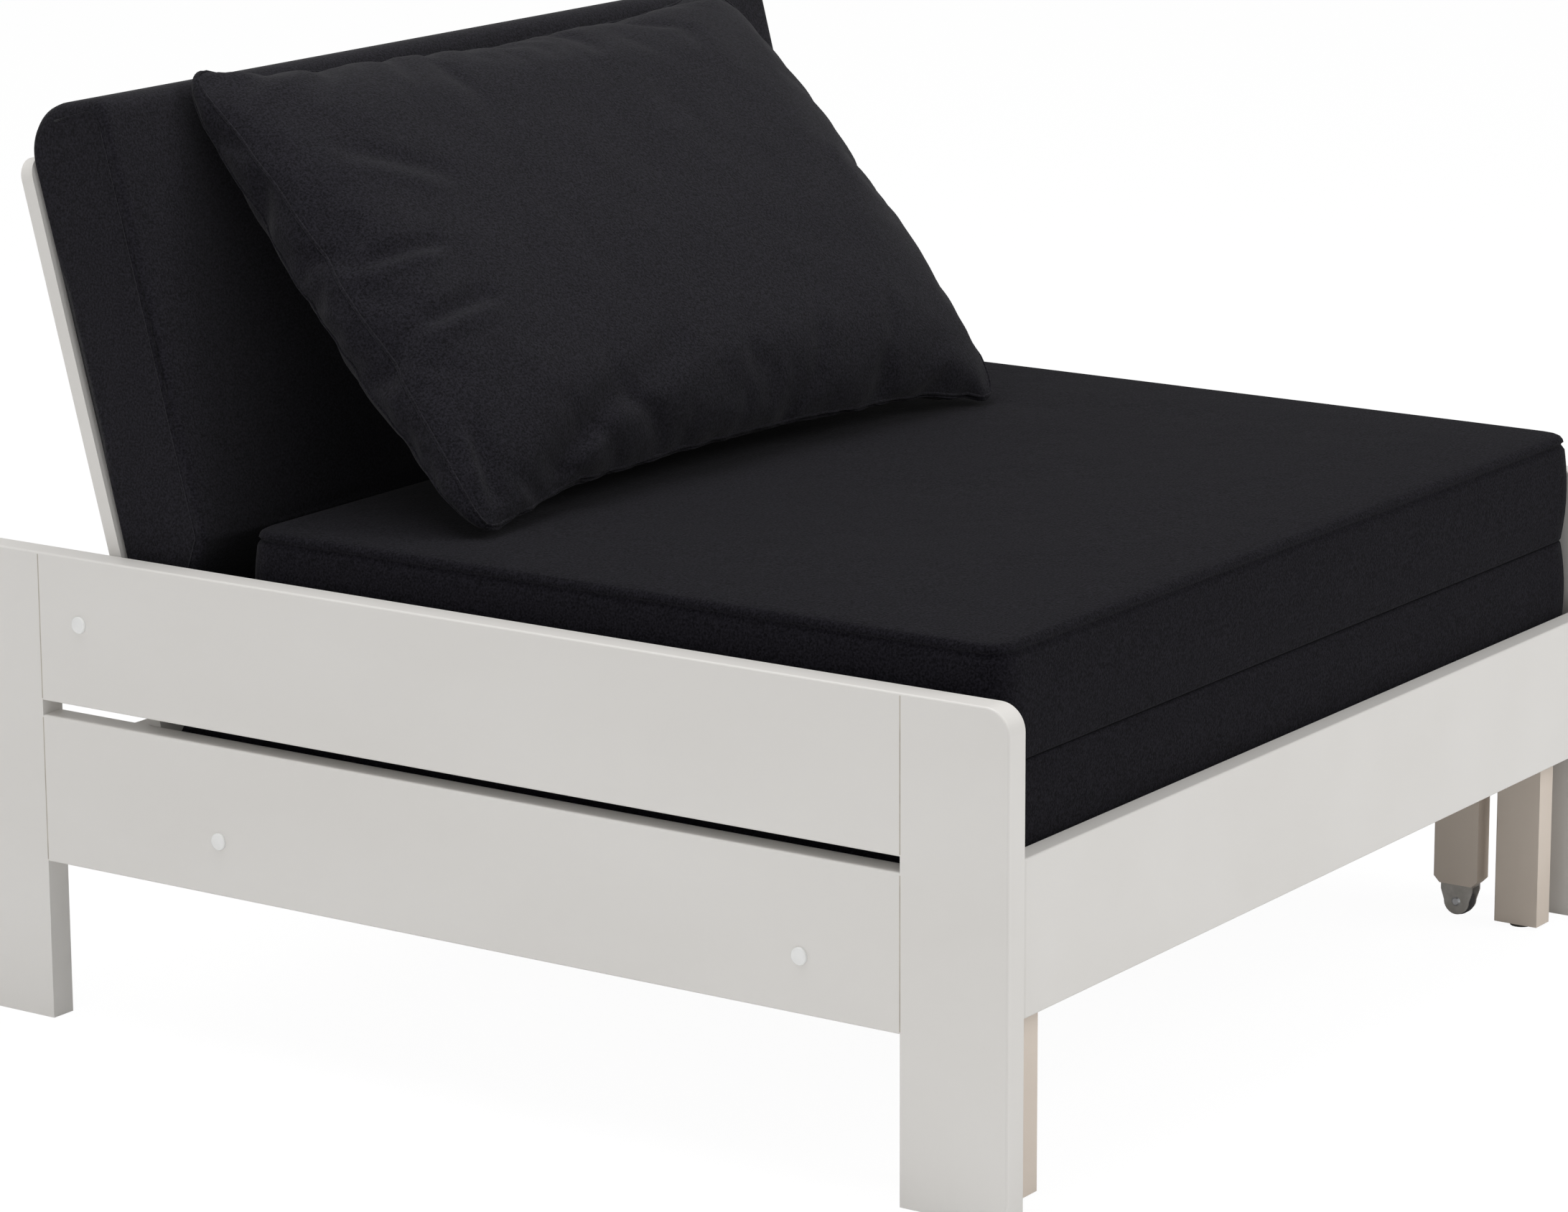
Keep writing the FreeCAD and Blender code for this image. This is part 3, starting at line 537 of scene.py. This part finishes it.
# Folds on the pillow's front, each from one point to another in its own plane, with a width and a depth
FOLDS = [
    ((-0.352, 0.006), (-0.255, 0.000), 0.008, 0.0062), ((-0.345, -0.068), (-0.235, -0.058), 0.008, 0.0068),
    ((-0.300, -0.236), (-0.150, -0.165), 0.013, 0.0085), ((-0.180, -0.180), (-0.040, -0.140), 0.016, 0.0045),
    ((-0.332, -0.160), (-0.338, -0.235), 0.009, 0.0060), ((-0.300, 0.120), (-0.190, 0.060), 0.011, 0.0035),
    ((-0.330, 0.205), (-0.210, 0.235), 0.010, 0.0035), ((0.060, -0.238), (0.085, -0.180), 0.010, 0.0030),
]
RIDGE_SHARE, RIDGE_AT = 0.55, 1.7                           # of the fold's depth, in fold widths


def inflated(obj, seam):
    """Blows up a sewn cover as cloth, gathered along its seam, and keeps the result. No point ends further
    than FARTHEST from where it began."""
    rest = [v.co.copy() for v in obj.data.vertices]
    group = obj.vertex_groups.new(name="seam")
    for index, weight in seam.items():
        group.add([index], weight, "REPLACE")
    cloth = obj.modifiers.new("cover", "CLOTH")
    cloth.settings.quality = 6
    cloth.settings.mass = 0.35
    cloth.settings.tension_stiffness = 18
    cloth.settings.compression_stiffness = 18
    cloth.settings.shear_stiffness = 6
    cloth.settings.bending_stiffness = 0.35
    cloth.settings.air_damping = 6
    cloth.settings.use_pressure = True
    cloth.settings.uniform_pressure_force = PRESSURE
    cloth.settings.effector_weights.gravity = 0
    cloth.settings.vertex_group_shrink = "seam"
    cloth.settings.shrink_min = 0.0
    cloth.settings.shrink_max = GATHER
    cloth.collision_settings.use_collision = False
    cloth.point_cache.frame_start = 1
    cloth.point_cache.frame_end = SIM_FRAMES
    for number in range(1, SIM_FRAMES + 1):
        bpy.context.scene.frame_set(number)
    shaped = obj.evaluated_get(bpy.context.evaluated_depsgraph_get()).to_mesh()
    moved = [v.co.copy() for v in shaped.vertices]
    obj.modifiers.clear()
    obj.vertex_groups.clear()
    bpy.context.scene.frame_set(1)
    for vertex, start, end in zip(obj.data.vertices, rest, moved):
        step = end - start
        if step.length > FARTHEST:
            step *= FARTHEST / step.length
        vertex.co = start + step
    obj.data.update()


def creased(spot):
    """Presses the folds into the front of the pillow, each with a soft ridge beside it."""
    x, y, z = spot
    if z > 0:
        for start, end, width, depth in FOLDS:
            a, b = Vector(start), Vector(end)
            along = b - a
            share = (Vector((x, y)) - a).dot(along) / along.length_squared
            if 0 < share < 1:
                off = (Vector((x, y)) - a).cross(along) / along.length / width
                taper = math.sin(math.pi * share) ** 0.7
                z += depth * taper * (RIDGE_SHARE * math.exp(-(off - RIDGE_AT) ** 2) - math.exp(-off ** 2))
    return x, y, z


def cover_points():
    """The pillow's cover before it is blown up: flat, a little rucked, and lens-shaped at its ends."""
    points, faces = boxed_points(COVER_SIZE, COVER_STEP, COVER_CORNER, COVER_ROWS)
    width, length = COVER_SIZE
    shaped = []
    for x, y, z in points:
        u, v = min(1.0, abs(x) / (width / 2)), min(1.0, abs(y) / (length / 2))
        half = EDGE_HALF + (END_HALF - EDGE_HALF) * (1 - v ** 2) ** 0.75
        half += MIDDLE_LIFT * (1 - u ** 2) * (1 - v ** 2)
        ruck = 0.0022 * ripple(x, y, z, 16.0, 21.0) + 0.0012 * ripple(x, y, z, 45.0, 4.0)
        shaped.append((x, y, z * half + ruck * (1 - v ** 4)))
    return shaped, faces


def fit_pillow(mesh):
    """Brings the cover to the pillow's size about its middle, bulges its edges, and draws its upper left corner
    in and down."""
    ends = [(min(values), max(values)) for values in zip(*(v.co for v in mesh.vertices))]
    fits = [want / (b - a) for want, (a, b) in zip(PILLOW_SIZE, ends)]
    for vertex in mesh.vertices:
        vertex.co = [(c - (a + b) / 2) * fit for c, (a, b), fit in zip(vertex.co, ends, fits)]
        u, v = vertex.co.x / (PILLOW_SIZE[0] / 2), vertex.co.y / (PILLOW_SIZE[1] / 2)
        bulge = RIGHT_BULGE if u > 0 else -LEFT_BULGE
        vertex.co.x += bulge * abs(u) ** 3 * max(0.0, 1 - v ** 2) ** 0.8
        vertex.co.y += LONG_EDGE_BULGE * v ** 3 * max(0.0, 1 - u ** 2) ** 0.7
        if u < 0 < v:
            vertex.co.x -= CORNER_IN * v * u
            vertex.co.y -= CORNER_DOWN * (u * v) ** 4


def pillow():
    """A boxed pillow whose cover is blown up with gathered seams, fitted, smoothed, creased and corded."""
    low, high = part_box("pillow")
    obj = mesh_object("loose_pillow_soft", *cover_points(), FABRIC)
    nx, ny = grid_counts(COVER_SIZE, COVER_STEP)
    sheet = (nx + 1) * (ny + 1)
    seam = {}
    for index in range(2 * sheet):
        i, j = index % sheet % (nx + 1), index % sheet // (nx + 1)
        away = min(i, nx - i, j, ny - j)
        seam[index] = GATHER_WEIGHTS[min(away, len(GATHER_WEIGHTS) - 1)]
    inflated(obj, seam)
    fit_pillow(obj.data)
    finer = obj.modifiers.new("finer", "SUBSURF")
    finer.levels = 1
    dense = obj.evaluated_get(bpy.context.evaluated_depsgraph_get()).to_mesh()
    points = [creased(v.co) for v in dense.vertices]
    faces = [tuple(polygon.vertices) for polygon in dense.polygons]
    obj.modifiers.clear()
    for start in (0, sheet):
        path = [Vector(points[start + j * (nx + 1) + i]) for i, j in border(nx, ny)]
        cord(points, faces, path + path[:1], PILLOW_CORD)
    obj.data.clear_geometry()
    obj.data.from_pydata(points, [], faces)
    set_smooth(obj.data, True)
    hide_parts("pillow")
    turn = Matrix.Rotation(math.radians(PILLOW_TURN), 4, "Z")
    stand = turn @ Matrix.Rotation(math.radians(90 - PILLOW_LEAN), 4, "X")
    centre = Matrix.Translation((low + high) / 2 + PILLOW_SHIFT)
    place(obj, centre @ stand, "loose_pillow", PILLOW_FILL)


pillow()


# Painted shadow lines where the side boards meet the legs

LINE_PROUD, LINE_HALF, LINE_INSET = 0.00012, 0.0005, 0.002
BOX_CORNERS = [(i, j, k) for i in (0, 1) for j in (0, 1) for k in (0, 1)]
BOX_FACES = [(0, 1, 3, 2), (4, 6, 7, 5), (0, 4, 5, 1), (2, 3, 7, 6), (0, 2, 6, 4), (1, 5, 7, 3)]


def painted_joint_shadows():
    """The fine shadow lines where the side boards meet the legs, on both faces of each side frame."""
    points, faces = [], []
    for side in ("left", "right"):
        for board in ("_lower_board", "_upper_board"):
            low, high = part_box(side + board)
            for y in (low.y, high.y):
                for x in (low.x, high.x):
                    a = (x - LINE_PROUD, y - LINE_HALF, low.z + LINE_INSET)
                    b = (x + LINE_PROUD, y + LINE_HALF, high.z - LINE_INSET)
                    base = len(points)
                    points += [tuple((a, b)[corner[n]][n] for n in range(3)) for corner in BOX_CORNERS]
                    faces += [tuple(base + q for q in quad) for quad in BOX_FACES]
    obj = mesh_object("board_painted_joint_shadows", points, faces, JOINT_SHADOW)
    set_smooth(obj.data, False)
    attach(obj, "frame")


painted_joint_shadows()


# Floor, light and camera

FLOOR_HALF = 30
FLOOR_GLOW, GLOW_SHARE = 1.04, 0.92
ROOM_LIGHT, SEEN_LIGHT = 0.40, 1.02
WHITE = (1, 1, 1, 1)
SENSOR_WIDTH, PHOTO_WIDTH = 36.0, 2184
FARTHEST_SEEN = 100


def camera_lit(name, color, strength, share):
    """A matte surface that looks paler to the camera and still takes the shadow."""
    mat = material(name, color, 0.9, **{"Specular IOR Level": 0.1})
    nodes, links = mat.node_tree.nodes, mat.node_tree.links
    glow = nodes.new("ShaderNodeEmission")
    glow.inputs["Strength"].default_value = strength
    path = nodes.new("ShaderNodeLightPath")
    scale = nodes.new("ShaderNodeMath")
    scale.operation = "MULTIPLY"
    scale.inputs[1].default_value = share
    mix = nodes.new("ShaderNodeMixShader")
    links.new(path.outputs["Is Camera Ray"], scale.inputs[0])
    links.new(scale.outputs[0], mix.inputs["Fac"])
    links.new(shader_of(mat).outputs["BSDF"], mix.inputs[1])
    links.new(glow.outputs["Emission"], mix.inputs[2])
    links.new(mix.outputs["Shader"], nodes["Material Output"].inputs["Surface"])
    return mat


floor_mesh = bpy.data.meshes.new("floor")
floor_corners = [(x * FLOOR_HALF, y * FLOOR_HALF, 0) for x, y in ((-1, -1), (1, -1), (1, 1), (-1, 1))]
floor_mesh.from_pydata(floor_corners, [], [(0, 1, 2, 3)])
floor_mesh.materials.append(camera_lit("pale_floor", (0.90, 0.90, 0.90), FLOOR_GLOW, GLOW_SHARE))
floor = bpy.data.objects.new("floor", floor_mesh)
bpy.context.scene.collection.objects.link(floor)

# The room lights the part with one strength and shows the camera another
world = bpy.data.worlds.new("studio")
bpy.context.scene.world = world
world.use_nodes = True
wn, wl = world.node_tree.nodes, world.node_tree.links
room = wn["Background"]
seen = wn.new("ShaderNodeBackground")
for background, strength in ((room, ROOM_LIGHT), (seen, SEEN_LIGHT)):
    background.inputs["Color"].default_value = WHITE
    background.inputs["Strength"].default_value = strength
rays = wn.new("ShaderNodeLightPath")
either = wn.new("ShaderNodeMixShader")
wl.new(rays.outputs["Is Camera Ray"], either.inputs["Fac"])
wl.new(room.outputs["Background"], either.inputs[1])
wl.new(seen.outputs["Background"], either.inputs[2])
wl.new(either.outputs["Shader"], wn["World Output"].inputs["Surface"])


def area_light(name, place_at, target, size, power):
    """A white rectangular light at a place, turned to its target."""
    data = bpy.data.lights.new(name, "AREA")
    data.shape = "RECTANGLE"
    data.size, data.size_y = size
    data.energy = power
    obj = bpy.data.objects.new(name, data)
    obj.location = place_at
    obj.rotation_mode = "QUATERNION"
    obj.rotation_quaternion = (Vector(target) - Vector(place_at)).to_track_quat("-Z", "Y")
    bpy.context.scene.collection.objects.link(obj)


area_light("key", (1.6, -4.2, 3.4), (0.1, -0.1, 0.4), (2.4, 2.4), 98)
area_light("top", (-0.6, 0.4, 4.2), (0, 0, 0.3), (3.0, 3.0), 100)
area_light("side", (-4.2, -0.4, 1.8), (-0.4, 0, 0.4), (2.4, 2.0), 27)

# Fitted to the photograph: focal length in pixels, azimuth, elevation and roll in degrees, place in metres
FOCAL, AZIMUTH, ELEVATION, ROLL = 7819.09, -55.5065, 13.5077, -0.2613
EYE = Vector((-4.0382, -2.7530, 1.5004))
camera_data = bpy.data.cameras.new("camera")
camera_data.sensor_width = SENSOR_WIDTH
camera_data.lens = FOCAL / PHOTO_WIDTH * SENSOR_WIDTH
camera_data.clip_end = FARTHEST_SEEN
camera = bpy.data.objects.new("camera", camera_data)
bpy.context.scene.collection.objects.link(camera)
az, el, roll = (math.radians(d) for d in (AZIMUTH, ELEVATION, ROLL))
towards = Vector((math.sin(az) * math.cos(el), -math.cos(az) * math.cos(el), math.sin(el)))
right = Vector((0, 0, 1)).cross(towards).normalized()
up = towards.cross(right)
right, up = right * math.cos(roll) + up * math.sin(roll), up * math.cos(roll) - right * math.sin(roll)
camera.matrix_world = Matrix.Translation(EYE) @ Matrix((right, up, towards)).transposed().to_4x4()
bpy.context.scene.camera = camera
bpy.context.scene.view_settings.view_transform = "Standard"
